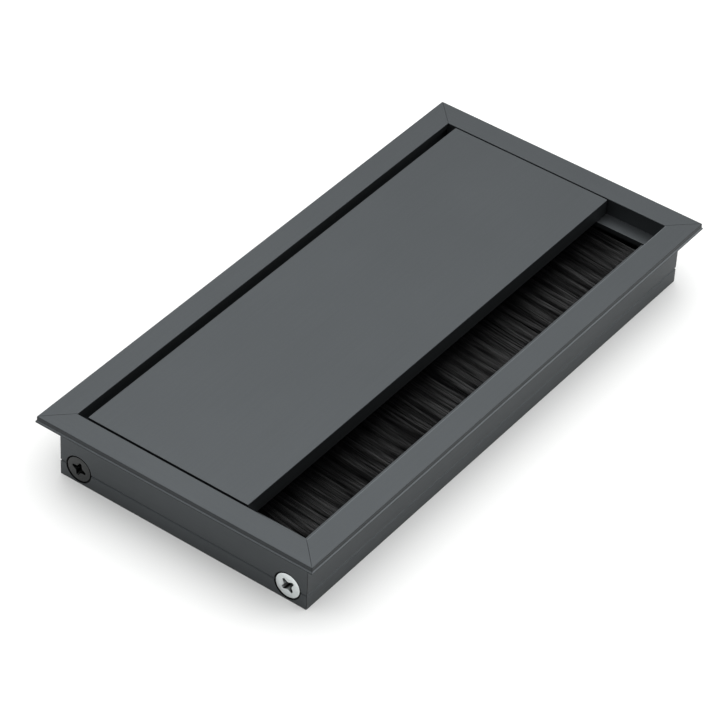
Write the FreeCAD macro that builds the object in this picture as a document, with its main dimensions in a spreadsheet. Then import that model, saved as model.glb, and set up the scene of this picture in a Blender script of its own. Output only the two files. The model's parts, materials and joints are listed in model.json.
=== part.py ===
import FreeCAD, Part
import os
import re

import Sketcher

# Desk cable grommet: a flanged frame of four mitred aluminium profiles, a hinged
# aluminium lid over the plug passage and a strip brush that closes the cable slot.
# Millimetres, +Z up. The origin is at the bottom centre, the long side lies along X
# and the cable slot is at the front, at -Y.

# Name, size and meaning of every driving dimension.
SIZES = [
    ("grommet_length", 160.0, "flange, end to end"),
    ("grommet_width", 80.0, "flange, front to rear"),
    ("grommet_height", 18.0, "bottom of the walls to the top of the flange"),
    ("flange_width", 6.9, "outer edge of the flange to the opening"),
    ("flange_thick", 1.8, "thickness of the flange"),
    ("edge_upper", 1.2, "set-back upper part of the flange's edge"),
    ("edge_step", 0.25, "how far that upper part is set back"),
    ("arris", 0.15, "broken top edges of the profiles"),
    ("overhang", 4.0, "flange past the wall, which covers the desk's cut-out"),
    ("wall_thick", 2.0, "walls that go down into the desk"),
    ("groove_width", 0.6, "scribed line along the walls"),
    ("groove_depth", 0.3, "depth of the scribed line"),
    ("mitre_gap", 0.06, "saw clearance of each mitred end, along the profile"),
    ("screw_height", 4.2, "screw axis above the bottom"),
    ("port_inset", 9.5, "screw axis from the flange's outer edge"),
    ("port_wall", 0.9, "wall of the screw port"),
    ("port_web", 1.6, "height of the web that carries the port"),
    ("port_slot", 1.2, "slot along the open inner side of the port"),
    ("screw_diameter", 3.5, "thread of the corner screws"),
    ("screw_length", 16.0, "length of the corner screws"),
    ("screw_point", 2.6, "length of the screw's point"),
    ("screw_play", 0.05, "radial play of the thread in its port"),
    ("hole_play", 0.15, "radial play of the screw in the end wall"),
    ("head_diameter", 6.8, "countersunk head"),
    ("head_rim", 0.3, "straight rim of the head"),
    ("head_sink", 0.1, "head below the face of the wall"),
    ("head_play", 0.05, "gap under the cone of the head, along the screw"),
    ("recess_span", 4.0, "cross recess, tip to tip"),
    ("recess_width", 0.9, "width of the recess's arms"),
    ("recess_depth", 1.2, "depth of the recess"),
    ("ledge_drop", 4.8, "ledge of the end profiles below the top"),
    ("ledge_width", 4.3, "ledge past the edge of the opening"),
    ("ledge_thick", 1.5, "thickness of the ledge"),
    ("ledge_end_gap", 0.1, "square end of the ledge to the wall of the long profile"),
    ("slot_width", 16.9, "cable slot between the front flange and the lid"),
    ("rear_gap", 2.6, "gap behind the lid, in which its rear edge swings"),
    ("lid_end_gap", 0.55, "gap at each end of the lid"),
    ("lid_thick", 1.8, "plate of the lid"),
    ("lid_rest_gap", 0.3, "closed lid above the ledges"),
    ("lip_thick", 1.5, "turned-down front lip of the lid"),
    ("barrel_radius", 1.9, "hinge barrel under the rear edge of the lid"),
    ("hinge_setback", 2.0, "hinge axis in front of the lid's rear edge"),
    ("pin_diameter", 2.0, "hinge pins"),
    ("pin_length", 8.0, "length of the hinge pins"),
    ("pin_seat", 2.4, "pin pressed into the end profile"),
    ("pin_bevel", 0.2, "broken ends of the pins"),
    ("pin_play", 0.05, "radial running play of the lid on its pins"),
    ("brush_drop", 7.7, "middle of the brush below the top"),
    ("holder_height", 3.0, "folded brush holder, outside"),
    ("holder_depth", 3.6, "folded brush holder, front to back"),
    ("holder_sheet", 0.5, "sheet of the brush holder"),
    ("holder_play", 0.1, "holder in its channel, on each side"),
    ("rib_thick", 1.0, "ribs of the brush channel"),
    ("rib_end_gap", 0.1, "ribs, milled back at both ends, to the ledge that passes there"),
    ("mouth_height", 2.0, "mouth of the brush channel"),
    ("mouth_lip", 0.6, "hooked lips that hold the brush in"),
    ("brush_end_gap", 0.3, "brush to the ledge at each end"),
    ("wire_diameter", 1.2, "core wire that the bristles are folded round"),
    ("wire_play", 0.05, "wire in the fold, and the fold in its holder"),
    ("bristle_length", 19.6, "bristles past the mouth of the channel"),
    ("bristle_rise", 7.0, "degrees by which the bristles rise towards the lid"),
    ("tuft_width", 1.2, "one tuft of bristles"),
    ("tuft_height", 1.6, "thickness of the layer of bristles"),
    ("tuft_pitch", 1.9, "tuft to tuft"),
]

SHEET = "Sizes"
NAMES = {name for name, _, _ in SIZES}

# Levels and insets that several pieces share. Insets count from the flange's outer edge.
FLANGE_UNDER = "(grommet_height - flange_thick)"
WALL_INNER = "(overhang + wall_thick)"
LEDGE_TOP = "(grommet_height - ledge_drop)"
LEDGE_INNER = "(flange_width + ledge_width)"
LIP_HEIGHT = "(ledge_drop - lid_rest_gap)"
LID_LENGTH = "(grommet_length - 2 * flange_width - 2 * lid_end_gap)"
LID_DEPTH = "(grommet_width - 2 * flange_width - slot_width - rear_gap)"
HINGE_INSET = "(flange_width + rear_gap + hinge_setback)"
HINGE_HEIGHT = f"(grommet_height - {LIP_HEIGHT} + barrel_radius)"
BRUSH_LEVEL = "(grommet_height - brush_drop)"
BRUSH_START = f"({LEDGE_INNER} + brush_end_gap)"
BRUSH_LENGTH = f"(grommet_length - 2 * {BRUSH_START})"
CHANNEL_HALF = "(holder_height / 2 + holder_play)"
CHANNEL_END = f"({WALL_INNER} + holder_depth + 2 * holder_play)"
CHANNEL_MOUTH = f"({CHANNEL_END} + mouth_lip)"
HOLDER_BACK = f"({WALL_INNER} + holder_play)"
HOLDER_FRONT = f"({HOLDER_BACK} + holder_depth)"
FOLD_BACK = f"({HOLDER_BACK} + holder_sheet + wire_play)"
FOLD_HALF = "(holder_height / 2 - holder_sheet - wire_play)"
PORT_RADIUS = "(screw_diameter / 2 + screw_play)"
PORT_OUTER = f"({PORT_RADIUS} + port_wall)"


def bind(formula):
    """Write a formula of plain size names as a formula on the spreadsheet."""
    def on_sheet(word):
        name = word.group()
        return f"{SHEET}.{name}" if name in NAMES else name

    return re.sub("[a-z_]+", on_sheet, formula)


def make_sheet(doc):
    """Put the driving dimensions into the document's spreadsheet."""
    sheet = doc.addObject("Spreadsheet::Sheet", SHEET)
    for row, (name, size, meaning) in enumerate(SIZES, start=1):
        sheet.set(f"A{row}", name)
        sheet.set(f"B{row}", str(size))
        sheet.set(f"C{row}", meaning)
        sheet.setAlias(f"B{row}", name)
    doc.recompute()
    return sheet


def size_of(owner, formula):
    """Work out a formula with the sizes of the sheet."""
    return float(owner.evalExpression(bind(formula)))


def make_body(doc, label):
    """Start a piece whose label is the name of its file."""
    body = doc.addObject("PartDesign::Body", label)
    body.Label = label
    return body


def add_sketch(body, name, role, offset="0"):
    """Attach an empty sketch to one of the body's own origin planes."""
    sketch = body.newObject("Sketcher::SketchObject", name)
    plane = next(feature for feature in body.Origin.OriginFeatures if feature.Role == role)
    sketch.AttachmentSupport = [(plane, "")]
    sketch.MapMode = "FlatFace"
    sketch.setExpression("AttachmentOffset.Base.z", bind(offset))
    return sketch


def hold_point(sketch, geometry, which, across, up):
    """Tie one point of a sketch to two formulas on the sheet."""
    for kind, formula, axis in (("DistanceX", across, -2), ("DistanceY", up, -1)):
        distance = size_of(sketch, formula)
        if formula == "0":
            sketch.addConstraint(Sketcher.Constraint("PointOnObject", geometry, which, axis))
            continue
        index = sketch.addConstraint(Sketcher.Constraint(kind, -1, 1, geometry, which, distance))
        sketch.setExpression(f"Constraints[{index}]", bind(formula))


def draw_outline(sketch, points):
    """Draw a closed outline whose corners follow the sheet."""
    corners = [FreeCAD.Vector(size_of(sketch, x), size_of(sketch, y), 0) for x, y in points]
    first = sketch.GeometryCount
    count = len(points)
    for start, end in zip(corners, corners[1:] + corners[:1]):
        sketch.addGeometry(Part.LineSegment(start, end), False)
    for step in range(count):
        joined = first + (step + 1) % count
        sketch.addConstraint(Sketcher.Constraint("Coincident", first + step, 2, joined, 1))
    for step, (across, up) in enumerate(points):
        hold_point(sketch, first + step, 1, across, up)


def draw_circle(sketch, across, up, radius):
    """Draw a circle whose centre and radius follow the sheet."""
    centre = FreeCAD.Vector(size_of(sketch, across), size_of(sketch, up), 0)
    circle = Part.Circle(centre, FreeCAD.Vector(0, 0, 1), size_of(sketch, radius))
    geometry = sketch.addGeometry(circle, False)
    hold_point(sketch, geometry, 3, across, up)
    index = sketch.addConstraint(Sketcher.Constraint("Radius", geometry, size_of(sketch, radius)))
    sketch.setExpression(f"Constraints[{index}]", bind(radius))


def add_pad(body, sketch, length):
    """Extrude a sketch along its normal."""
    pad = body.newObject("PartDesign::Pad", "Pad")
    pad.Profile = sketch
    pad.setExpression("Length", bind(length))
    return pad


def add_pocket(body, sketch, depth=None, inwards=True):
    """Cut a sketch out of the body: to a depth, or right through both ways."""
    body.Document.recompute()
    before = body.Shape.Volume
    pocket = body.newObject("PartDesign::Pocket", "Pocket")
    pocket.Profile = sketch
    if depth is None:
        pocket.Type = "ThroughAll"
        pocket.SideType = "Symmetric"
    else:
        pocket.setExpression("Length", bind(depth))
        pocket.Reversed = not inwards
    body.Document.recompute()
    if body.Shape.Volume > before - 1e-6:
        raise RuntimeError(f"{sketch.Name} of {body.Label} cuts nothing")
    return pocket


def revolve_about_x(body, points):
    """Turn a half section round the body's X axis."""
    sketch = add_sketch(body, "HalfSection", "XY_Plane")
    draw_outline(sketch, points)
    turning = body.newObject("PartDesign::Revolution", "Turning")
    turning.Profile = sketch
    turning.ReferenceAxis = (sketch, ["H_Axis"])
    turning.Angle = 360.0
    return turning


def place(body, across, back, up, turn=0.0):
    """Set a piece down in the object's frame, turned about Z by whole degrees."""
    rotation = FreeCAD.Rotation(FreeCAD.Vector(0, 0, 1), turn)
    corner = [size_of(body, formula) for formula in (across, back, up)]
    body.Placement = FreeCAD.Placement(FreeCAD.Vector(*corner), rotation)
    for axis, formula in zip("xyz", (across, back, up)):
        body.setExpression(f"Placement.Base.{axis}", bind(formula))


# The four profiles. Each lies along its own X, from the outer corner of the frame,
# with Y counted inwards from the flange's outer edge and Z up from the bottom.

def outer_side():
    """Wall, scribed line, stepped flange edge and top, up to the edge of the opening."""
    return [
        (WALL_INNER, "0"),
        ("overhang", "0"),
        ("overhang", "screw_height - groove_width / 2"),
        ("overhang + groove_depth", "screw_height"),
        ("overhang", "screw_height + groove_width / 2"),
        ("overhang", FLANGE_UNDER),
        ("0", FLANGE_UNDER),
        ("0", "grommet_height - edge_upper - edge_step"),
        ("edge_step", "grommet_height - edge_upper"),
        ("edge_step", "grommet_height - arris"),
        ("edge_step + arris", "grommet_height"),
        ("flange_width - arris", "grommet_height"),
        ("flange_width", "grommet_height - arris"),
    ]


def brush_channel_side():
    """Inner side of a long profile: two hooked ribs form the channel for the brush."""
    points = [("flange_width", FLANGE_UNDER), (WALL_INNER, FLANGE_UNDER)]
    upper = [
        (WALL_INNER, f"{CHANNEL_HALF} + rib_thick"),
        (CHANNEL_MOUTH, f"{CHANNEL_HALF} + rib_thick"),
        (CHANNEL_MOUTH, "mouth_height / 2"),
        (CHANNEL_END, "mouth_height / 2"),
        (CHANNEL_END, CHANNEL_HALF),
        (WALL_INNER, CHANNEL_HALF),
    ]
    points += [(inset, f"{BRUSH_LEVEL} + {rise}") for inset, rise in upper]
    points += [(inset, f"{BRUSH_LEVEL} - ({rise})") for inset, rise in reversed(upper)]
    return points


def ledge_side():
    """Inner side of an end profile: a solid head, then the ledge under the lid."""
    return [
        ("flange_width", LEDGE_TOP),
        (LEDGE_INNER, LEDGE_TOP),
        (LEDGE_INNER, f"{LEDGE_TOP} - ledge_thick"),
        (WALL_INNER, f"{LEDGE_TOP} - ledge_thick"),
    ]


def extrude_profile(body, inner_side, length):
    """Extrude a profile's section over its whole length."""
    section = add_sketch(body, "Section", "YZ_Plane")
    draw_outline(section, outer_side() + inner_side)
    add_pad(body, section, length)


def cut_mitres(body, length, reach):
    """Saw both ends at 45 degrees, to an inset that lies past all of the section."""
    sketch = add_sketch(body, "Mitres", "XY_Plane")
    tip = f"{reach} + mitre_gap"
    draw_outline(sketch, [("0", "0"), ("mitre_gap", "0"), (tip, reach), ("0", reach)])
    ends = [(length, "0"), (length, reach), (f"{length} - ({tip})", reach), (f"{length} - mitre_gap", "0")]
    draw_outline(sketch, ends)
    add_pocket(body, sketch)


def mill_ribs_back(body):
    """Cut both ribs of the channel away at each end, where an end profile's ledge passes."""
    reach = f"({LEDGE_INNER} + rib_end_gap)"
    low = f"{BRUSH_LEVEL} - ({CHANNEL_HALF} + rib_thick)"
    high = f"{BRUSH_LEVEL} + ({CHANNEL_HALF} + rib_thick)"
    for name, start in (("FirstRibEnds", "0"), ("LastRibEnds", f"grommet_length - {reach}")):
        ribs = add_sketch(body, name, "YZ_Plane", start)
        draw_outline(ribs, [(WALL_INNER, low), (LEDGE_INNER, low), (LEDGE_INNER, high), (WALL_INNER, high)])
        add_pocket(body, ribs, reach, inwards=False)


def square_ledge_ends(body):
    """Carry the ledge past both mitres, square up to the walls of the long profiles."""
    ends = add_sketch(body, "LedgeEnds", "XY_Plane", f"{LEDGE_TOP} - ledge_thick")
    start = f"({WALL_INNER} + ledge_end_gap)"
    joined = f"({LEDGE_INNER} + mitre_gap)"
    for near, far in ((start, joined), (f"grommet_width - {joined}", f"grommet_width - {start}")):
        draw_outline(ends, [(near, WALL_INNER), (far, WALL_INNER), (far, LEDGE_INNER), (near, LEDGE_INNER)])
    add_pad(body, ends, "ledge_thick")


def make_long_rail(doc, label, across, back, turn):
    """One long profile, with the brush channel and the port for the corner screws."""
    body = make_body(doc, label)
    extrude_profile(body, brush_channel_side(), "grommet_length")
    web = add_sketch(body, "Web", "YZ_Plane")
    low = "screw_height - port_web / 2"
    high = "screw_height + port_web / 2"
    draw_outline(web, [(WALL_INNER, low), ("port_inset", low), ("port_inset", high), (WALL_INNER, high)])
    add_pad(body, web, "grommet_length")
    port = add_sketch(body, "Port", "YZ_Plane")
    draw_circle(port, "port_inset", "screw_height", PORT_OUTER)
    add_pad(body, port, "grommet_length")
    bore = add_sketch(body, "PortBore", "YZ_Plane")
    draw_circle(bore, "port_inset", "screw_height", PORT_RADIUS)
    add_pocket(body, bore)
    slot = add_sketch(body, "PortSlot", "YZ_Plane")
    past = f"port_inset + {PORT_OUTER} + port_wall"
    low = "screw_height - port_slot / 2"
    high = "screw_height + port_slot / 2"
    draw_outline(slot, [("port_inset", low), (past, low), (past, high), ("port_inset", high)])
    add_pocket(body, slot)
    deepest = f"({CHANNEL_MOUTH} + port_inset + {PORT_OUTER})"
    cut_mitres(body, "grommet_length", deepest)
    mill_ribs_back(body)
    place(body, across, back, "0", turn)
    return body


def make_end_rail(doc, label, across, back, turn, pin_along):
    """One end profile, with countersunk screw holes and the seat of a hinge pin."""
    body = make_body(doc, label)
    extrude_profile(body, ledge_side(), "grommet_width")
    cut_mitres(body, "grommet_width", f"({LEDGE_INNER} + overhang)")
    square_ledge_ends(body)
    screws = add_sketch(body, "ScrewHoles", "XZ_Plane", "-overhang")
    for along in ("port_inset", "grommet_width - port_inset"):
        draw_circle(screws, along, "screw_height", "screw_diameter / 2 + hole_play")
    doc.recompute()
    before = body.Shape.Volume
    holes = body.newObject("PartDesign::Hole", "CountersunkHoles")
    holes.Profile = screws
    holes.DepthType = "ThroughAll"
    holes.HoleCutType = "Countersink"
    holes.HoleCutCustomValues = True
    holes.setExpression("Diameter", bind("screw_diameter + 2 * hole_play"))
    holes.setExpression("HoleCutDiameter", bind("head_diameter + 2 * (head_rim + head_sink)"))
    holes.HoleCutCountersinkAngle = 90.0
    doc.recompute()
    if body.Shape.Volume > before - 1e-6:
        raise RuntimeError(f"the screw holes of {label} cut nothing")
    seat = add_sketch(body, "PinSeat", "XZ_Plane", "-flange_width")
    draw_circle(seat, pin_along, HINGE_HEIGHT, "pin_diameter / 2")
    add_pocket(body, seat, "pin_seat", inwards=False)
    place(body, across, back, "0", turn)
    return body


# The lid and the pins that it turns on.

def make_lid(doc):
    """One extruded piece: plate, turned-down front lip and hinge barrel."""
    body = make_body(doc, "lid")
    section = add_sketch(body, "Section", "YZ_Plane")
    under = f"{LIP_HEIGHT} - lid_thick"
    outline = [
        ("0", "0"),
        ("lip_thick", "0"),
        ("lip_thick", under),
        (LID_DEPTH, under),
        (LID_DEPTH, f"{LIP_HEIGHT} - arris"),
        (f"{LID_DEPTH} - arris", LIP_HEIGHT),
        ("arris", LIP_HEIGHT),
        ("0", f"{LIP_HEIGHT} - arris"),
    ]
    draw_outline(section, outline)
    add_pad(body, section, LID_LENGTH)
    barrel = add_sketch(body, "Barrel", "YZ_Plane")
    draw_circle(barrel, f"{LID_DEPTH} - hinge_setback", "barrel_radius", "barrel_radius")
    add_pad(body, barrel, LID_LENGTH)
    bore = add_sketch(body, "BarrelBore", "YZ_Plane")
    draw_circle(bore, f"{LID_DEPTH} - hinge_setback", "barrel_radius", "pin_diameter / 2 + pin_play")
    add_pocket(body, bore)
    front = "-grommet_width / 2 + flange_width + slot_width"
    place(body, f"-{LID_LENGTH} / 2", front, f"grommet_height - {LIP_HEIGHT}")
    return body


def make_hinge_pin(doc, label, side, turn):
    """A plain pin with broken ends, half in the end profile and half in the lid."""
    body = make_body(doc, label)
    radius = "pin_diameter / 2"
    half_section = [
        ("0", "0"),
        ("pin_length", "0"),
        ("pin_length", f"{radius} - pin_bevel"),
        ("pin_length - pin_bevel", radius),
        ("pin_bevel", radius),
        ("0", f"{radius} - pin_bevel"),
    ]
    revolve_about_x(body, half_section)
    outer_end = f"{side}(grommet_length / 2 - flange_width + pin_seat)"
    place(body, outer_end, f"grommet_width / 2 - {HINGE_INSET}", HINGE_HEIGHT, turn)
    return body


def make_screw(doc, label, side, depth_sign, turn):
    """A countersunk self-tapping screw with a cross recess. Its thread is left plain."""
    body = make_body(doc, label)
    cone_start = "head_rim - head_play"
    half_section = [
        ("0", "0"),
        ("screw_length", "0"),
        ("screw_length - screw_point", "screw_diameter / 2"),
        (f"{cone_start} + (head_diameter - screw_diameter) / 2", "screw_diameter / 2"),
        (cone_start, "head_diameter / 2"),
        ("0", "head_diameter / 2"),
    ]
    revolve_about_x(body, half_section)
    recess = add_sketch(body, "Recess", "YZ_Plane")
    arm = "recess_span / 2"
    rib = "recess_width / 2"
    cross = [
        (arm, f"-{rib}"), (arm, rib), (rib, rib), (rib, arm), (f"-{rib}", arm), (f"-{rib}", rib),
        (f"-{arm}", rib), (f"-{arm}", f"-{rib}"), (f"-{rib}", f"-{rib}"), (f"-{rib}", f"-{arm}"),
        (rib, f"-{arm}"), (rib, f"-{rib}"),
    ]
    draw_outline(recess, cross)
    add_pocket(body, recess, "recess_depth", inwards=False)
    head = f"{side}(grommet_length / 2 - overhang - head_sink)"
    inset = f"{depth_sign}(grommet_width / 2 - port_inset)"
    place(body, head, inset, "screw_height", turn)
    return body


# The strip brush in the front profile's channel. Each piece shares the profile's frame.

def place_in_front_rail(body):
    """Set a piece of the brush down at its start in the front profile."""
    place(body, f"-grommet_length / 2 + {BRUSH_START}", "-grommet_width / 2", "0")


def make_brush_holder(doc):
    """Sheet folded into a U, open towards the slot."""
    body = make_body(doc, "brush_holder")
    section = add_sketch(body, "Section", "YZ_Plane")
    upper = [
        (HOLDER_BACK, "holder_height / 2"),
        (HOLDER_FRONT, "holder_height / 2"),
        (HOLDER_FRONT, "holder_height / 2 - holder_sheet"),
        (f"{HOLDER_BACK} + holder_sheet", "holder_height / 2 - holder_sheet"),
    ]
    points = [(inset, f"{BRUSH_LEVEL} + {rise}") for inset, rise in upper]
    points += [(inset, f"{BRUSH_LEVEL} - ({rise})") for inset, rise in reversed(upper)]
    draw_outline(section, points)
    add_pad(body, section, BRUSH_LENGTH)
    place_in_front_rail(body)
    return body


def wire_inset():
    """Middle of the core wire, one wire behind the fold's back face."""
    return f"({FOLD_BACK} + wire_diameter)"


def make_brush_wire(doc):
    """Round wire that the bristles are folded round."""
    body = make_body(doc, "brush_wire")
    section = add_sketch(body, "Section", "YZ_Plane")
    draw_circle(section, wire_inset(), BRUSH_LEVEL, "wire_diameter / 2")
    add_pad(body, section, BRUSH_LENGTH)
    place_in_front_rail(body)
    return body


def make_bristles(doc):
    """The fold of the bristles in the holder, and their tufts across the slot."""
    body = make_body(doc, "bristles")
    fold = add_sketch(body, "Fold", "YZ_Plane")
    low = f"{BRUSH_LEVEL} - {FOLD_HALF}"
    high = f"{BRUSH_LEVEL} + {FOLD_HALF}"
    draw_outline(fold, [(FOLD_BACK, low), (CHANNEL_MOUTH, low), (CHANNEL_MOUTH, high), (FOLD_BACK, high)])
    add_pad(body, fold, BRUSH_LENGTH)
    eye = add_sketch(body, "WireEye", "YZ_Plane")
    draw_circle(eye, wire_inset(), BRUSH_LEVEL, "wire_diameter / 2 + wire_play")
    add_pocket(body, eye)
    tuft = add_sketch(body, "Tuft", "YZ_Plane")
    root = f"({CHANNEL_MOUTH} - mouth_lip / 2)"
    tip = f"{CHANNEL_MOUTH} + bristle_length"
    climb = "(bristle_length + mouth_lip / 2) * tan(bristle_rise)"
    half = "tuft_height / 2"
    tuft_corners = [
        (root, f"{BRUSH_LEVEL} - {half}"),
        (tip, f"{BRUSH_LEVEL} - {half} + {climb}"),
        (tip, f"{BRUSH_LEVEL} + {half} + {climb}"),
        (root, f"{BRUSH_LEVEL} + {half}"),
    ]
    draw_outline(tuft, tuft_corners)
    first = add_pad(body, tuft, "tuft_width")
    row = body.newObject("PartDesign::LinearPattern", "TuftRow")
    row.Originals = [first]
    row.Direction = (tuft, ["N_Axis"])
    row.setExpression("Length", bind(f"{BRUSH_LENGTH} - tuft_width"))
    row.setExpression("Occurrences", bind(f"floor(({BRUSH_LENGTH} - tuft_width) / tuft_pitch) + 1"))
    body.Tip = row
    place_in_front_rail(body)
    return body


def make_pieces(doc):
    """Every separate piece of the grommet, in its place."""
    left = "-grommet_length / 2"
    right = "grommet_length / 2"
    front = "-grommet_width / 2"
    rear = "grommet_width / 2"
    pieces = [
        make_long_rail(doc, "front_rail", left, front, 0.0),
        make_long_rail(doc, "rear_rail", right, rear, 180.0),
        make_end_rail(doc, "left_end_rail", left, rear, -90.0, HINGE_INSET),
        make_end_rail(doc, "right_end_rail", right, front, 90.0, f"grommet_width - {HINGE_INSET}"),
        make_lid(doc),
        make_hinge_pin(doc, "hinge_pin_left", "-", 0.0),
        make_hinge_pin(doc, "hinge_pin_right", "", 180.0),
        make_brush_holder(doc),
        make_brush_wire(doc),
        make_bristles(doc),
    ]
    for end, side, turn in (("left", "-", 0.0), ("right", "", 180.0)):
        for edge, depth_sign in (("front", "-"), ("rear", "")):
            pieces.append(make_screw(doc, f"screw_{edge}_{end}", side, depth_sign, turn))
    return pieces


def check(doc, pieces):
    """Stop when a feature failed or a piece has no sound solid."""
    for item in doc.Objects:
        if "Invalid" in item.State or "Error" in item.State:
            raise RuntimeError(f"{item.Label} failed: {item.State}")
    for piece in pieces:
        if piece.Shape.isNull() or not piece.Shape.isValid() or len(piece.Shape.Solids) != 1:
            raise RuntimeError(f"{piece.Label} is not one sound solid")


def main():
    doc = FreeCAD.newDocument("desk_cable_grommet")
    make_sheet(doc)
    pieces = make_pieces(doc)
    doc.recompute()
    check(doc, pieces)
    os.makedirs("parts", exist_ok=True)
    for piece in pieces:
        piece.Shape.exportStep(f"parts/{piece.Label}.step")
        box = piece.Shape.BoundBox
        corners = [round(v, 2) for v in (box.XMin, box.YMin, box.ZMin, box.XMax, box.YMax, box.ZMax)]
        print(piece.Label, round(piece.Shape.Volume, 1), corners)


main()
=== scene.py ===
import json
import math
import random

import bmesh
import bpy
from bpy.props import FloatProperty, FloatVectorProperty, IntProperty, PointerProperty
from mathutils import Matrix, Vector


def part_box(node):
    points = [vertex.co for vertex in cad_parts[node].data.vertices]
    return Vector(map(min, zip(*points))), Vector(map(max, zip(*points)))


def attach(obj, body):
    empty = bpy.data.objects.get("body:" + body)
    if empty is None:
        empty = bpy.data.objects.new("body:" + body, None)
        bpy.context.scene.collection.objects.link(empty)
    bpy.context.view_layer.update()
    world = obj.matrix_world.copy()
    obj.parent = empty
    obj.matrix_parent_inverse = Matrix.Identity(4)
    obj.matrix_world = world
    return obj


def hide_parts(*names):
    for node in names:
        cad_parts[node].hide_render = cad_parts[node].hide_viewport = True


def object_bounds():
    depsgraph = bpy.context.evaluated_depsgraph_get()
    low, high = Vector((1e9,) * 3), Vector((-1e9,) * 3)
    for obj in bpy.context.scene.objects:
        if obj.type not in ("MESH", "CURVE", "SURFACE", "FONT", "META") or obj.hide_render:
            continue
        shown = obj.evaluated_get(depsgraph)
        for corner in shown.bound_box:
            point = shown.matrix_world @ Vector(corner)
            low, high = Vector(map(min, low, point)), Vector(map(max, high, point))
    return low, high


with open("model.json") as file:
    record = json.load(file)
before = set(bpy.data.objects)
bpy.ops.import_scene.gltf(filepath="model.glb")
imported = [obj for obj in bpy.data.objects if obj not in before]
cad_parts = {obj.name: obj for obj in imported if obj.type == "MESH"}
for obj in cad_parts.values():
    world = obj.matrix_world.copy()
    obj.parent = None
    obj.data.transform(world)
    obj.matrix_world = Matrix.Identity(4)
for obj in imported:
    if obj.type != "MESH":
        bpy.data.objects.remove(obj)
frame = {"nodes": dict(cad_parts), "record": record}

bl_info = {
    "name": "Desk cable grommet",
    "version": (1, 0, 0),
    "blender": (4, 5, 0),
    "location": "3D View > Sidebar > Grommet",
    "description": "Dresses a desk cable grommet: anodised profiles, flap, strip brush and screws",
    "category": "Object",
}

MM = 0.001
CAD_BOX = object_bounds()
RAILS_ALONG_X = ("front_rail", "rear_rail")
RAILS_ALONG_Y = ("left_end_rail", "right_end_rail")
ZINC_SCREWS = ("screw_front_left", "screw_front_right")
BLACK_SCREWS = ("screw_rear_left", "screw_rear_right")
SCREW_RIM = 0.3 * MM


def linear(hex_colour):
    """Turn an sRGB hex value such as #5F6466 into linear red, green and blue."""
    channels = [int(hex_colour[place:place + 2], 16) / 255 for place in (1, 3, 5)]
    return [c / 12.92 if c <= 0.04045 else ((c + 0.055) / 1.055) ** 2.4 for c in channels]


def colour_setting(name, hex_colour, description):
    """A colour property whose default is an sRGB hex value."""
    return FloatVectorProperty(
        name=name, description=description, subtype="COLOR", size=3, min=0.0, max=1.0,
        default=linear(hex_colour),
    )


def length_setting(name, millimetres, description):
    """A length property whose default is given in millimetres."""
    return FloatProperty(
        name=name, description=description, unit="LENGTH", precision=5, min=0.0,
        default=millimetres * MM,
    )


def angle_setting(name, degrees, description):
    """An angle property whose default is given in degrees."""
    return FloatProperty(
        name=name, description=description, unit="ROTATION", default=math.radians(degrees),
    )


def place_setting(name, millimetres, description):
    """A property for a point in space whose default is given in millimetres."""
    return FloatVectorProperty(
        name=name, description=description, subtype="TRANSLATION",
        default=tuple(value * MM for value in millimetres),
    )


def share_setting(name, share, description):
    """A plain number property: a share, a factor or a brightness."""
    return FloatProperty(name=name, description=description, default=share)


# Settings that a user would change

class GrommetProfileLooks(bpy.types.PropertyGroup):
    """Settings of the four profiles and the flap"""
    edge_radius: length_setting("Edge radius", 0.05, "Rounding of the sawn and extruded edges")
    flange: length_setting("Flange", 6.9, "Width of the flange round the opening")
    step: length_setting("Step", 1.32, "Middle of the slope in the flange's edge, below the top")
    # The next two settings are painted light: a painted highlight on the flange's slope and on the
    # front edge of the opening, and painted shade on the upright faces beside the slope.
    painted_highlight: share_setting("Painted highlight", 0.7, "How much lighter the rubbed edges are")
    tone_and_painted_shade: share_setting("Painted edge shade", 0.4, "How much darker the flange's edge is beside its slope")
    grain: length_setting("Grain", 0.35, "Spacing of the etched grain under the anodic layer")
    die_line: length_setting("Die line", 0.5, "Spacing of the faint lines that the die leaves")
    colour: colour_setting("Anodic colour", "#4D5052", "Grey of the dyed anodic layer")


class GrommetBrushLooks(bpy.types.PropertyGroup):
    """Settings of the bristles"""
    filament: length_setting("Filament", 0.2, "Diameter of one bristle")
    count: IntProperty(name="Filaments", description="Number of bristles", min=100, default=4600)
    clump: length_setting("Clump", 1.7, "Spacing of the clumps that the bristles gather in")
    reach: length_setting("Reach", 20.2, "Bristles past the mouth of their channel")
    rise: angle_setting("Rise", 6.5, "Angle by which the bristles rise")
    lean: length_setting("Lean", 0.3, "Sideways lean of the tips to the right")
    fan: length_setting("Fan", 1.6, "How far the tips at both ends lean inwards")
    end_gap: length_setting("End gap", 0.6, "Last bristle to the end of the brush")
    colour: colour_setting("Nylon colour", "#0B0B0C", "Black of the bristles")


class GrommetScrewLooks(bpy.types.PropertyGroup):
    """Settings of the corner screws"""
    thread: length_setting("Thread", 3.5, "Outer diameter of the thread")
    core: length_setting("Core", 2.6, "Diameter at the root of the thread")
    pitch: length_setting("Pitch", 1.3, "Pitch of the thread")
    point: length_setting("Point", 2.6, "Length of the point")
    recess: length_setting("Recess", 4.0, "Span of the cross recess at the face of the head")
    recess_core: length_setting("Recess core", 2.0, "Width of the recess between its arms")
    recess_depth: length_setting("Recess depth", 2.1, "Depth of the cross recess")
    zinc: colour_setting("Zinc colour", "#E2E7E7", "Bright zinc plating")
    black: colour_setting("Oxide colour", "#434444", "Black oxide")


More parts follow.
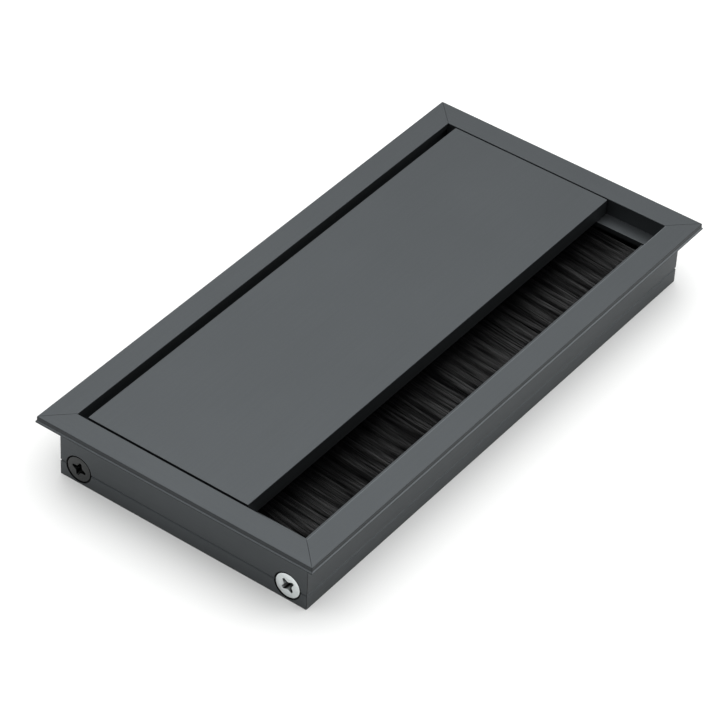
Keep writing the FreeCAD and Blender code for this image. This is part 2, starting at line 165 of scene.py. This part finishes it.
class GrommetStudioLooks(bpy.types.PropertyGroup):
    """Settings of the camera, the floor and the light"""
    lens: FloatProperty(name="Lens", description="Focal length in millimetres", default=175.71)
    azimuth: angle_setting("Azimuth", -55.306, "Camera's turn round the object")
    elevation: angle_setting("Elevation", 40.279, "Camera above the floor")
    roll: angle_setting("Roll", 3.2, "Camera's roll")
    distance: length_setting("Distance", 825.8, "Camera to the point that it looks at")
    aim: place_setting("Aim", (-16.41, -5.56, 18.0), "Point that the camera looks at")
    floor: colour_setting("Floor colour", "#E0E0DF", "Plain pale floor")
    floor_lift: share_setting("Floor lift", 0.13, "Glow that brings the floor to white")
    tent: share_setting("Tent", 0.42, "Brightness of the white tent all round, 1 being white")
    tent_colour: colour_setting("Tent colour", "#FBFEFF", "White of the tent, a trace cool")
    ceiling: share_setting("Ceiling", 1.96, "Brightness of the lit ceiling")
    ceiling_side: length_setting("Ceiling side", 1200.0, "Side of the lit ceiling")
    ceiling_place: place_setting("Ceiling place", (140, 80, 600), "Middle of the lit ceiling")
    softbox: share_setting("Softbox", 1.24, "Brightness of the soft light")
    softbox_side: length_setting("Softbox side", 1000.0, "Side of the soft light")
    softbox_place: place_setting("Softbox place", (1000, -1030, 700), "Middle of the soft light")


SETTINGS = {
    "grommet_profiles": GrommetProfileLooks,
    "grommet_brush": GrommetBrushLooks,
    "grommet_screws": GrommetScrewLooks,
    "grommet_studio": GrommetStudioLooks,
}


# Materials

def new_material(name):
    """A material with an empty principled shader. Returns the material, its links and the shader."""
    material = bpy.data.materials.new(name)
    material.use_nodes = True
    return material, material.node_tree.links, material.node_tree.nodes["Principled BSDF"]


def add_node(material, kind, settings=None, values=None, links=None):
    """Add one node, set its properties and socket values, and link its inputs."""
    tree = material.node_tree
    node = tree.nodes.new(kind)
    for name, value in (settings or {}).items():
        setattr(node, name, value)
    for name, value in (values or {}).items():
        node.inputs[name].default_value = value
    for name, output in (links or {}).items():
        tree.links.new(output, node.inputs[name])
    return node


def set_inputs(shader, **values):
    """Set constant inputs of the principled shader by their names, with spaces for underscores."""
    for name, value in values.items():
        shader.inputs[name.replace("_", " ")].default_value = value


def combine(material, operation, first, second=0.0, third=0.0):
    """Output of one maths node. Each input is a number or the output of another node."""
    inputs = {0: first, 1: second, 2: third}
    numbers = {socket: value for socket, value in inputs.items() if isinstance(value, float)}
    outputs = {socket: value for socket, value in inputs.items() if not isinstance(value, float)}
    node = add_node(material, "ShaderNodeMath", {"operation": operation}, numbers, outputs)
    return node.outputs["Value"]


def flange_edges(material, x, y, z, looks):
    """Tone of the flange's edges: a painted highlight on the slope and front edge, painted shade beside
    it.

    The slope in the outer edge and the front edge of the opening get the painted highlight. The narrow
    upright faces over and under the slope get the painted shade.
    """
    corner = CAD_BOX[1]
    rim, half_slope, painted_shade_gap = 0.3 * MM, 0.15 * MM, 0.1 * MM
    half_lip, lip_depth = 0.16 * MM, 0.2 * MM
    past_end = combine(material, "SUBTRACT", combine(material, "ABSOLUTE", x), corner.x)
    past_side = combine(material, "SUBTRACT", combine(material, "ABSOLUTE", y), corner.y)
    furthest = combine(material, "MAXIMUM", past_end, past_side)
    outside = combine(material, "GREATER_THAN", furthest, -rim)
    at_slope = combine(material, "COMPARE", z, corner.z - looks.step, half_slope)
    slope = combine(material, "MULTIPLY", outside, at_slope)
    front = combine(material, "COMPARE", y, looks.flange - corner.y - half_lip, half_lip)
    between_ends = combine(material, "LESS_THAN", past_end, -looks.flange)
    on_top = combine(material, "GREATER_THAN", z, corner.z - lip_depth)
    lip = combine(material, "MULTIPLY", combine(material, "MULTIPLY", front, between_ends), on_top)
    below_top = combine(material, "LESS_THAN", z, corner.z - painted_shade_gap)
    # Painted shade on the upright faces of the outer edge, apart from the slope
    painted_shade = combine(material, "SUBTRACT", combine(material, "MULTIPLY", outside, below_top), slope)
    # Painted highlight on the slope and on the front edge of the opening
    either = combine(material, "MAXIMUM", slope, lip)
    highlighted = combine(material, "MULTIPLY_ADD", either, looks.painted_highlight, 1.0)
    return combine(material, "MULTIPLY_ADD", painted_shade, -looks.tone_and_painted_shade, highlighted)


def countersinks(material, x, y, z):
    """1 inside the countersinks of the corner screws, else 0."""
    low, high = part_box("screw_front_right")
    axis = (low + high) / 2
    clearance, proud = 0.38 * MM, 0.08 * MM
    radius = high.z - axis.z + clearance
    across = combine(material, "SUBTRACT", combine(material, "ABSOLUTE", y), -axis.y)
    upward = combine(material, "SUBTRACT", z, axis.z)
    squares = combine(material, "ADD", combine(material, "POWER", across, 2.0),
                      combine(material, "POWER", upward, 2.0))
    near = combine(material, "LESS_THAN", squares, radius ** 2)
    sunk = combine(material, "LESS_THAN", combine(material, "ABSOLUTE", x), high.x + proud)
    return combine(material, "MULTIPLY", near, sunk)


def anodised_aluminium(name, along):
    """Extruded aluminium, etched matt and coloured dark grey in the anodic bath.

    The etch leaves an even satin grain that blurs reflections, the die leaves very faint lines
    along the profile, and the anodic colour varies a little lighter or darker from place to place.
    The grain of the real surface is finer than 0.1 mm and is drawn at the size that just shows.
    The flange's slope and the front edge of the opening carry a painted highlight, the upright
    faces beside the slope carry painted shade, and the countersinks round the screw heads are
    painted near black as shade.
    """
    looks = bpy.context.scene.grommet_profiles
    material, links, shader = new_material(name)
    place = add_node(material, "ShaderNodeTexCoord").outputs["Object"]
    drawn_out, cloud_size, relief, countersink_shade_strength = 60, 30 * MM, 0.02 * MM, 0.97
    stretch = [1 / looks.die_line] * 3
    stretch[along] /= drawn_out
    die = add_node(material, "ShaderNodeMapping", values={"Scale": stretch}, links={"Vector": place})
    lines = add_node(material, "ShaderNodeTexNoise", values={"Scale": 1.0, "Detail": 2.0},
                     links={"Vector": die.outputs["Vector"]})
    grain = add_node(material, "ShaderNodeTexNoise", links={"Vector": place},
                     values={"Scale": 1 / looks.grain, "Detail": 3.0})
    cloud = add_node(material, "ShaderNodeTexNoise", links={"Vector": place},
                     values={"Scale": 1 / cloud_size, "Detail": 2.0})
    shade = add_node(material, "ShaderNodeMapRange", values={"To Min": 0.94, "To Max": 1.06},
                     links={"Value": cloud.outputs["Fac"]})
    speck = add_node(material, "ShaderNodeMapRange", values={"To Min": 0.95, "To Max": 1.05},
                     links={"Value": grain.outputs["Fac"]})
    tone_and_painted_shade = combine(material, "MULTIPLY", shade.outputs["Result"], speck.outputs["Result"])
    axes = add_node(material, "ShaderNodeSeparateXYZ", links={"Vector": place})
    x, y, z = (axes.outputs[axis] for axis in "XYZ")
    # Painted highlight and painted shade on the flange's edges
    edges = flange_edges(material, x, y, z, looks)
    # Painted shade: the countersinks round the screw heads are darkened to near black
    countersink_shade = combine(material, "MULTIPLY_ADD", countersinks(material, x, y, z), -countersink_shade_strength, 1.0)
    level = combine(material, "MULTIPLY", tone_and_painted_shade, combine(material, "MULTIPLY", edges, countersink_shade))
    tint = add_node(material, "ShaderNodeVectorMath", {"operation": "SCALE"}, {0: looks.colour},
                    {"Scale": level})
    links.new(tint.outputs["Vector"], shader.inputs["Base Color"])
    rough = add_node(material, "ShaderNodeMapRange", values={"To Min": 0.46, "To Max": 0.56},
                     links={"Value": lines.outputs["Fac"]})
    links.new(rough.outputs["Result"], shader.inputs["Roughness"])
    fine = add_node(material, "ShaderNodeBump", values={"Strength": 0.12, "Distance": relief},
                    links={"Height": grain.outputs["Fac"]})
    drawn = add_node(material, "ShaderNodeBump", values={"Strength": 0.10, "Distance": relief},
                     links={"Height": lines.outputs["Fac"], "Normal": fine.outputs["Normal"]})
    links.new(drawn.outputs["Normal"], shader.inputs["Normal"])
    set_inputs(shader, Metallic=1.0)
    return material


def bristle_nylon(mouth):
    """Black nylon 6 filament, extruded smooth: deep black with a soft gloss along each bristle.

    The bristles of one clump lie alike, so the gloss comes in streaks of about a clump's width.
    Towards the tips their gloss fades out, as painted shade under the flap's lip.
    """
    looks = bpy.context.scene.grommet_brush
    material, links, shader = new_material("bristle_nylon")
    island = add_node(material, "ShaderNodeNewGeometry").outputs["Random Per Island"]
    place = add_node(material, "ShaderNodeTexCoord").outputs["Object"]
    across, drawn_out = 1 / looks.clump, 12
    tip_shade_start, tip_shade_full = mouth.y + 4 * MM, mouth.y + 13 * MM
    shade = add_node(material, "ShaderNodeMapRange", values={"To Min": 0.5, "To Max": 1.5},
                     links={"Value": island})
    tint = add_node(material, "ShaderNodeVectorMath", {"operation": "SCALE"}, {0: looks.colour},
                    {"Scale": shade.outputs["Result"]})
    links.new(tint.outputs["Vector"], shader.inputs["Base Color"])
    drawn = add_node(material, "ShaderNodeMapping", links={"Vector": place},
                     values={"Scale": (across, across / drawn_out, across / drawn_out)})
    streaks = add_node(material, "ShaderNodeTexNoise", values={"Scale": 1.2, "Detail": 1.0},
                       links={"Vector": drawn.outputs["Vector"]})
    streak = add_node(material, "ShaderNodeMapRange", links={"Value": streaks.outputs["Fac"]},
                      values={"From Min": 0.36, "From Max": 0.66, "To Min": 0.08, "To Max": 0.65})
    axes = add_node(material, "ShaderNodeSeparateXYZ", links={"Vector": place})
    # Painted shade: the gloss fades towards the tips, where the flap's lip shades them
    painted_tip_shade = add_node(material, "ShaderNodeMapRange", links={"Value": axes.outputs["Y"]},
                       values={"From Min": tip_shade_start, "From Max": tip_shade_full,
                               "To Min": 1.0, "To Max": 0.05})
    gloss = combine(material, "MULTIPLY", streak.outputs["Result"], painted_tip_shade.outputs["Result"])
    links.new(gloss, shader.inputs["Specular IOR Level"])
    rough = add_node(material, "ShaderNodeMapRange", values={"To Min": 0.42, "To Max": 0.56},
                     links={"Value": island})
    links.new(rough.outputs["Result"], shader.inputs["Roughness"])
    set_inputs(shader, IOR=1.53, Specular_IOR_Level=0.2)
    return material


def plated_steel(name, colour, roughness, blotch):
    """Cold-headed or drawn steel with a thin finish whose crystals give soft blotches of gloss.

    Painted shade darkens the hollows that ambient occlusion finds.
    """
    material, links, shader = new_material(name)
    hollow_reach = 1.2 * MM
    place = add_node(material, "ShaderNodeTexCoord")
    crystals = add_node(material, "ShaderNodeTexNoise", values={"Scale": 1 / blotch, "Detail": 2.0},
                        links={"Vector": place.outputs["Object"]})
    shade = add_node(material, "ShaderNodeMapRange", values={"To Min": 0.9, "To Max": 1.1},
                     links={"Value": crystals.outputs["Fac"]})
    hollow = add_node(material, "ShaderNodeAmbientOcclusion", values={"Distance": hollow_reach})
    # Painted shade in the hollows, from ambient occlusion
    painted_hollow_shade = add_node(material, "ShaderNodeMapRange", links={"Value": hollow.outputs["AO"]},
                   values={"From Min": 0.65, "From Max": 0.95, "To Min": 0.06, "To Max": 1.0})
    level = combine(material, "MULTIPLY", shade.outputs["Result"], painted_hollow_shade.outputs["Result"])
    tint = add_node(material, "ShaderNodeVectorMath", {"operation": "SCALE"}, {0: colour},
                    {"Scale": level})
    links.new(tint.outputs["Vector"], shader.inputs["Base Color"])
    rough = add_node(material, "ShaderNodeMapRange", links={"Value": crystals.outputs["Fac"]},
                     values={"To Min": roughness * 0.85, "To Max": roughness * 1.2})
    links.new(rough.outputs["Result"], shader.inputs["Roughness"])
    set_inputs(shader, Metallic=1.0)
    return material


# Mesh work

def finish_piece(piece, material, slot, *nodes):
    """Give a piece its material, and let it ride for the nodes that it stands for."""
    piece.data.materials.clear()
    piece.data.materials.append(material)
    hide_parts(*nodes)
    bodies = frame["record"]["behaviour"]["bodies"]
    body = next(name for name, members in bodies.items() if nodes[0] in members)
    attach(piece, body)


def new_piece(name, work):
    """Turn a bmesh into a smooth-shaded object of the scene."""
    mesh = bpy.data.meshes.new(name)
    bmesh.ops.recalc_face_normals(work, faces=work.faces)
    work.to_mesh(mesh)
    work.free()
    mesh.shade_smooth()
    piece = bpy.data.objects.new(name, mesh)
    bpy.context.collection.objects.link(piece)
    return piece


def on_mitre(edge):
    """Whether an edge lies on one of the four mitres between the rails."""
    ends = [vertex.co for vertex in edge.verts]
    offset = CAD_BOX[1].x - CAD_BOX[1].y
    return all(abs(abs(p.x) - abs(p.y) - offset) < 0.1 * MM for p in (*ends, (ends[0] + ends[1]) / 2))


def rounded_copy(node, name, radius, mitred=False):
    """Copy a node's solid, merge its facets and round its edges, but not those on the mitres."""
    weld, flat, sharp = 0.001 * MM, math.radians(1.0), math.radians(30.0)
    work = bmesh.new()
    work.from_mesh(frame["nodes"][node].data)
    bmesh.ops.remove_doubles(work, verts=work.verts, dist=weld)
    bmesh.ops.dissolve_limit(work, angle_limit=flat, verts=work.verts, edges=work.edges)
    bmesh.ops.recalc_face_normals(work, faces=work.faces)
    weight = work.edges.layers.float.new("bevel_weight_edge")
    for edge in work.edges:
        if mitred and on_mitre(edge):
            edge.smooth = False
        elif edge.calc_face_angle(0.0) > sharp:
            edge[weight] = 1.0
    piece = new_piece(name, work)
    bevel = piece.modifiers.new("Broken edges", "BEVEL")
    bevel.width = radius
    bevel.segments = 2
    bevel.limit_method = "WEIGHT"
    bevel.use_clamp_overlap = False
    piece.modifiers.new("Flat faces", "WEIGHTED_NORMAL").keep_sharp = True
    return piece


def dress(node, material, slot, mitred=False):
    """Put a copy with broken edges and its material in the place of a node's plain solid."""
    radius = bpy.context.scene.grommet_profiles.edge_radius
    finish_piece(rounded_copy(node, f"{node}_dressed", radius, mitred), material, slot, node)


def lathe(work, rings, sides):
    """Skin closed rings of points, one after the other, and cap both ends."""
    loops = [[work.verts.new(point) for point in ring] for ring in rings]
    for first, second in zip(loops, loops[1:]):
        for side in range(sides):
            after = (side + 1) % sides
            work.faces.new((first[side], first[after], second[after], second[side]))
    work.faces.new(list(reversed(loops[0])))
    work.faces.new(loops[-1])


# The corner screws

def screw_radius(looks, head, along, turn, length):
    """Radius of the screw at a distance from its face and an angle round it."""
    thread, core = looks.thread / 2, looks.core / 2
    crest, blunt_tip = 2.5, 0.08 * MM
    cone_end = SCREW_RIM + head - thread
    if along < SCREW_RIM:
        return head
    if along < cone_end:
        return head - (along - SCREW_RIM)
    rise = 0.5 + 0.5 * math.cos(math.tau * (along / looks.pitch) - turn)
    radius = core + (thread - core) * rise ** crest
    left = length - along
    return min(radius, blunt_tip + left * thread / looks.point)


def screw_blank(looks, head, length):
    """Head, cone and threaded shank along +X from the face of the head."""
    sides, rings_a_pitch = 48, 10
    corner = 0.12 * MM
    stations = [(0.0, -corner), (corner * 0.3, -corner * 0.3), (corner, 0.0)]
    along = SCREW_RIM
    while along < length:
        stations.append((along, 0.0))
        along += looks.pitch / rings_a_pitch
    stations.append((length, 0.0))
    rings = []
    for along, trim in stations:
        ring = []
        for side in range(sides):
            turn = math.tau * side / sides
            radius = screw_radius(looks, head, along, turn, length) + trim
            ring.append((along, radius * math.cos(turn), radius * math.sin(turn)))
        rings.append(ring)
    work = bmesh.new()
    lathe(work, rings, sides)
    return new_piece("screw_blank", work)


def recess_cutter(looks):
    """A tapered cross that cuts the driver's recess into the head."""
    above, half_tip, hollow = 0.5 * MM, 0.3 * MM, 0.75
    depth = looks.recess_depth
    depths_and_sizes = [(-above, 1.05), (0.0, 1.0), (depth * 0.75, 0.66), (depth, 0.3)]
    rings = []
    for along, share in depths_and_sizes:
        arm, tip, core = (share * half for half in (looks.recess / 2, half_tip, looks.recess_core / 2))
        quarter = [(arm, -tip), (arm, tip), (core * hollow, core * hollow)]
        ring = []
        for turn in range(4):
            cos, sin = round(math.cos(turn * math.pi / 2)), round(math.sin(turn * math.pi / 2))
            ring += [(along, y * cos - z * sin, y * sin + z * cos) for y, z in quarter]
        rings.append(ring)
    work = bmesh.new()
    lathe(work, rings, len(rings[0]))
    return new_piece("recess_cutter", work)


def make_screw(name, material, slot, quarter_turn):
    """One countersunk screw in the place of its solid, its cross turned as it was driven."""
    looks = bpy.context.scene.grommet_screws
    crease = math.radians(32.0)
    low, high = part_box(name)
    blank = screw_blank(looks, (high.z - low.z) / 2, high.x - low.x)
    cutter = recess_cutter(looks)
    cut = blank.modifiers.new("Recess", "BOOLEAN")
    cut.operation = "DIFFERENCE"
    cut.object = cutter
    cut.solver = "EXACT"
    bpy.context.view_layer.update()
    evaluated = blank.evaluated_get(bpy.context.evaluated_depsgraph_get())
    cut_mesh = bpy.data.meshes.new_from_object(evaluated)
    bpy.data.objects.remove(cutter)
    bpy.data.objects.remove(blank)
    middle = (low + high) / 2
    outward = -1.0 if middle.x < 0 else 1.0
    face = Vector((low.x if outward < 0 else high.x, middle.y, middle.z))
    facing = Matrix.Identity(4) if outward < 0 else Matrix.Rotation(math.pi, 4, "Z")
    cut_mesh.transform(Matrix.Translation(face) @ facing @ Matrix.Rotation(quarter_turn, 4, "X"))
    cut_mesh.shade_smooth()
    cut_mesh.set_sharp_from_angle(angle=crease)
    piece = bpy.data.objects.new(f"{name}_dressed", cut_mesh)
    bpy.context.collection.objects.link(piece)
    finish_piece(piece, material, slot, name)


# The strip brush

def bristle_path(looks, draw, root_x, clump, mouth, wire, ends):
    """Centre line of one bristle: round the core wire, out of the mouth and across the slot."""
    clump_x, clump_lean, clump_rise = clump
    layer = draw.uniform(-0.85, 0.85) * MM
    rise = math.tan(looks.rise + clump_rise + draw.gauss(0.0, 0.008))
    lean = looks.lean + clump_lean + draw.gauss(0.0, 0.2) * MM
    gather = draw.uniform(0.0, 0.6)
    off_centre = min(1.0, abs(root_x - clump_x) / (looks.clump / 2))
    reach = looks.reach - abs(draw.gauss(0.0, 0.25)) * MM
    side = 1.0 if layer > 0 else -1.0
    steps, thinning, most_sag = 5, 0.25, 0.5 * MM
    bend = [(-0.7 * MM, 0.25 * MM), (0.2 * MM, 0.78 * MM)]
    path = [Vector((root_x, wire.y + past, wire.z + side * off)) for past, off in bend]
    path.append(Vector((root_x, mouth.y, mouth.z + layer)))
    for step in range(1, steps + 1):
        share = step / steps
        x = root_x + lean * share + (clump_x - root_x) * gather * share
        sag = most_sag * off_centre ** 2 * min(1.0, 3 * share)
        z = mouth.z + layer * (1 - thinning * share) + reach * share * rise - sag
        path.append(Vector((max(ends[0], min(ends[1], x)), mouth.y + reach * share, z)))
    return path


def add_filament(vertices, faces, path, radius):
    """Skin one bristle with three sides and close it at both ends."""
    first = len(vertices)
    taper = 0.25
    turns = [math.tau * side / 3 for side in range(3)]
    for step, point in enumerate(path[:-1]):
        size = radius * (1 - taper * step / len(path))
        for turn in turns:
            vertices.append((point.x + size * math.cos(turn), point.y, point.z + size * math.sin(turn)))
    for step in range(len(path) - 2):
        low = first + 3 * step
        for side in range(3):
            after = (side + 1) % 3
            faces.append((low + side, low + 3 + side, low + 3 + after, low + after))
    tip = len(vertices)
    vertices.append(tuple(path[-1]))
    last = tip - 3
    faces.append((first, first + 1, first + 2))
    for side in range(3):
        faces.append((last + side, tip, last + (side + 1) % 3))


def make_bristles():
    """Thousands of black filaments, gathered in clumps, in the place of the plain comb."""
    looks = bpy.context.scene.grommet_brush
    draw = random.Random(7)
    low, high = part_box("bristles")
    wire_low, wire_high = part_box("brush_wire")
    _, holder_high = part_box("brush_holder")
    wire = (wire_low + wire_high) / 2
    mouth = Vector((0.0, holder_high.y, wire.z))
    left, right = low.x + looks.filament, high.x - looks.end_gap
    fan_width = 4 * MM
    clumps = []
    x = left
    while x < right:
        fan = looks.fan * (math.exp((left - x) / fan_width) - math.exp((x - right) / fan_width))
        clumps.append((x, draw.gauss(0.0, 0.3) * MM + fan, draw.gauss(0.0, 0.012)))
        x += looks.clump * draw.uniform(0.5, 1.4)
    vertices, faces = [], []
    for index in range(looks.count):
        root_x = left + (right - left) * (index + draw.random()) / looks.count
        clump = min(clumps, key=lambda clump: abs(clump[0] - root_x))
        path = bristle_path(looks, draw, root_x, clump, mouth, wire, (left, right))
        add_filament(vertices, faces, path, looks.filament / 2)
    mesh = bpy.data.meshes.new("bristle_filaments")
    mesh.from_pydata(vertices, [], faces)
    mesh.shade_smooth()
    piece = bpy.data.objects.new("bristle_filaments", mesh)
    bpy.context.collection.objects.link(piece)
    finish_piece(piece, bristle_nylon(mouth), "bristle_nylon", "bristles")


# The studio

def aim_camera(looks):
    """A long lens at the photograph's angle."""
    back = Vector((
        math.sin(looks.azimuth) * math.cos(looks.elevation),
        -math.cos(looks.azimuth) * math.cos(looks.elevation),
        math.sin(looks.elevation),
    ))
    level = Vector((math.cos(looks.azimuth), math.sin(looks.azimuth), 0.0))
    upright = back.cross(level)
    right = math.cos(looks.roll) * level + math.sin(looks.roll) * upright
    up = math.cos(looks.roll) * upright - math.sin(looks.roll) * level
    camera = bpy.data.objects.new("camera", bpy.data.cameras.new("camera"))
    camera.data.sensor_width = 36.0
    camera.data.lens = looks.lens
    camera.data.clip_start = 0.05
    camera.data.clip_end = 20.0
    turn = Matrix((right, up, back)).transposed().to_4x4()
    camera.matrix_world = Matrix.Translation(Vector(looks.aim) + back * looks.distance) @ turn
    bpy.context.collection.objects.link(camera)
    bpy.context.scene.camera = camera


def backdrop_paper(looks):
    """Matt white backdrop paper, with a glow for the rays that see it."""
    material, links, shader = new_material("backdrop_paper")
    set_inputs(shader, Base_Color=(*looks.floor, 1.0), Roughness=0.9, Specular_IOR_Level=0.1)
    ray = add_node(material, "ShaderNodeLightPath").outputs
    direct = combine(material, "MAXIMUM", ray["Is Camera Ray"], ray["Is Glossy Ray"])
    seen = combine(material, "MAXIMUM", direct, ray["Is Transmission Ray"])
    links.new(combine(material, "MULTIPLY", seen, looks.floor_lift), shader.inputs["Emission Strength"])
    set_inputs(shader, Emission_Color=(1.0, 1.0, 1.0, 1.0))
    return material


def painted_shade_sheet():
    """A dark grey sheet of painted shade, for the shaded space that lies below a fitted grommet."""
    material, links, shader = new_material("painted_shade_sheet")
    mottle_size = 0.4 * MM
    mottle = add_node(material, "ShaderNodeTexNoise", values={"Scale": 1 / mottle_size})
    shade = add_node(material, "ShaderNodeMapRange", values={"To Min": 0.7, "To Max": 1.3},
                     links={"Value": mottle.outputs["Fac"]})
    tint = add_node(material, "ShaderNodeVectorMath", {"operation": "SCALE"}, {0: linear("#3A3A3A")},
                    {"Scale": shade.outputs["Result"]})
    links.new(tint.outputs["Vector"], shader.inputs["Base Color"])
    set_inputs(shader, Roughness=1.0, Specular_IOR_Level=0.0)
    return material


def lay_floor(looks):
    """A plain pale floor, with a dark patch of painted shade inside the frame of the grommet."""
    half = 1.5
    level = -0.02 * MM
    under_wall = 5 * MM
    columns = [-half, CAD_BOX[0].x + under_wall, CAD_BOX[1].x - under_wall, half]
    rows = [-half, CAD_BOX[0].y + under_wall, CAD_BOX[1].y - under_wall, half]
    work = bmesh.new()
    grid = [[work.verts.new((x, y, level)) for x in columns] for y in rows]
    for row in range(3):
        for column in range(3):
            near, far = grid[row], grid[row + 1]
            face = work.faces.new((near[column], near[column + 1], far[column + 1], far[column]))
            # The middle face, inside the frame, takes the dark sheet of painted shade
            face.material_index = 1 if row == column == 1 else 0
    floor = new_piece("floor", work)
    floor.data.materials.append(backdrop_paper(looks))
    floor.data.materials.append(painted_shade_sheet())


def add_area_light(name, brightness, side, place, aim):
    """A square area light that faces a point, with the power of an even emitter of its brightness."""
    lamp = bpy.data.lights.new(name, "AREA")
    lamp.shape = "SQUARE"
    lamp.size = side
    lamp.energy = brightness * math.pi * side ** 2
    light = bpy.data.objects.new(name, lamp)
    light.location = place
    light.rotation_euler = (Vector(place) - Vector(aim)).to_track_quat("Z", "Y").to_euler()
    bpy.context.collection.objects.link(light)


def light_room(looks):
    """A white tent all round, a lit ceiling above and one soft light at the front right."""
    world = bpy.data.worlds.new("studio")
    world.use_nodes = True
    bpy.context.scene.world = world
    background = world.node_tree.nodes["Background"]
    background.inputs["Color"].default_value = (*looks.tent_colour, 1.0)
    background.inputs["Strength"].default_value = looks.tent
    below = (looks.ceiling_place[0], looks.ceiling_place[1], 0.0)
    add_area_light("ceiling", looks.ceiling, looks.ceiling_side, looks.ceiling_place, below)
    add_area_light("softbox", looks.softbox, looks.softbox_side, looks.softbox_place, (0.0, 0.0, 0.0))


# Operators, one for each piece or group of like pieces

class GROMMET_OT_stage(bpy.types.Operator):
    """Set up the camera, the floor and the light"""
    bl_idname = "grommet.stage"
    bl_label = "Stage"

    def execute(self, context):
        looks = context.scene.grommet_studio
        context.scene.view_settings.view_transform = "Standard"
        aim_camera(looks)
        lay_floor(looks)
        light_room(looks)
        return {"FINISHED"}


class GROMMET_OT_profiles(bpy.types.Operator):
    """Dress the four mitred profiles of the frame"""
    bl_idname = "grommet.profiles"
    bl_label = "Profiles"

    def execute(self, context):
        for along, rails in enumerate((RAILS_ALONG_X, RAILS_ALONG_Y)):
            material = anodised_aluminium(f"anodised_aluminium_{'xy'[along]}", along)
            for node in rails:
                dress(node, material, "anodised_aluminium", mitred=True)
        return {"FINISHED"}


class GROMMET_OT_flap(bpy.types.Operator):
    """Dress the hinged flap"""
    bl_idname = "grommet.flap"
    bl_label = "Flap"

    def execute(self, context):
        dress("lid", anodised_aluminium("anodised_aluminium_flap", 0), "anodised_aluminium")
        return {"FINISHED"}


class GROMMET_OT_hinge_pins(bpy.types.Operator):
    """Dress the two hinge pins"""
    bl_idname = "grommet.hinge_pins"
    bl_label = "Hinge pins"

    def execute(self, context):
        steel = plated_steel("drawn_steel", linear("#B9BABB"), 0.25, 0.4 * MM)
        for node in ("hinge_pin_left", "hinge_pin_right"):
            dress(node, steel, "pin_steel")
        return {"FINISHED"}


class GROMMET_OT_brush_holder(bpy.types.Operator):
    """Dress the folded holder of the brush and its core wire"""
    bl_idname = "grommet.brush_holder"
    bl_label = "Brush holder"

    def execute(self, context):
        steel = plated_steel("galvanised_steel", linear("#A7ABAC"), 0.38, 2.5 * MM)
        for node in ("brush_holder", "brush_wire"):
            dress(node, steel, "galvanised_steel")
        return {"FINISHED"}


class GROMMET_OT_bristles(bpy.types.Operator):
    """Make the bristles"""
    bl_idname = "grommet.bristles"
    bl_label = "Bristles"

    def execute(self, context):
        make_bristles()
        return {"FINISHED"}


class GROMMET_OT_screws(bpy.types.Operator):
    """Make the four corner screws"""
    bl_idname = "grommet.screws"
    bl_label = "Screws"

    def execute(self, context):
        looks = context.scene.grommet_screws
        zinc = plated_steel("zinc_plated_steel", list(looks.zinc), 0.34, 0.8 * MM)
        black = plated_steel("black_oxide_steel", list(looks.black), 0.36, 0.6 * MM)
        for name in ZINC_SCREWS:
            make_screw(name, zinc, "zinc_plated_steel", math.radians(48.0))
        for name in BLACK_SCREWS:
            make_screw(name, black, "black_oxide_steel", math.radians(15.0))
        return {"FINISHED"}


class GROMMET_PT_panel(bpy.types.Panel):
    """Lists the operators and their settings"""
    bl_idname = "GROMMET_PT_panel"
    bl_label = "Desk cable grommet"
    bl_space_type = "VIEW_3D"
    bl_region_type = "UI"
    bl_category = "Grommet"

    def draw(self, context):
        for operator in OPERATORS:
            self.layout.operator(operator.bl_idname)
        for name, group in SETTINGS.items():
            box = self.layout.box()
            for setting in group.__annotations__:
                box.prop(getattr(context.scene, name), setting)


OPERATORS = (
    GROMMET_OT_stage,
    GROMMET_OT_profiles,
    GROMMET_OT_flap,
    GROMMET_OT_hinge_pins,
    GROMMET_OT_brush_holder,
    GROMMET_OT_bristles,
    GROMMET_OT_screws,
)


def register():
    for cls in (*SETTINGS.values(), *OPERATORS, GROMMET_PT_panel):
        bpy.utils.register_class(cls)
    for name, group in SETTINGS.items():
        setattr(bpy.types.Scene, name, PointerProperty(type=group))


def unregister():
    for name in SETTINGS:
        delattr(bpy.types.Scene, name)
    for cls in reversed((*SETTINGS.values(), *OPERATORS, GROMMET_PT_panel)):
        bpy.utils.unregister_class(cls)


def main():
    register()
    for operator in OPERATORS:
        group, action = operator.bl_idname.split(".")
        getattr(getattr(bpy.ops, group), action)()


if __name__ == "__main__":
    main()
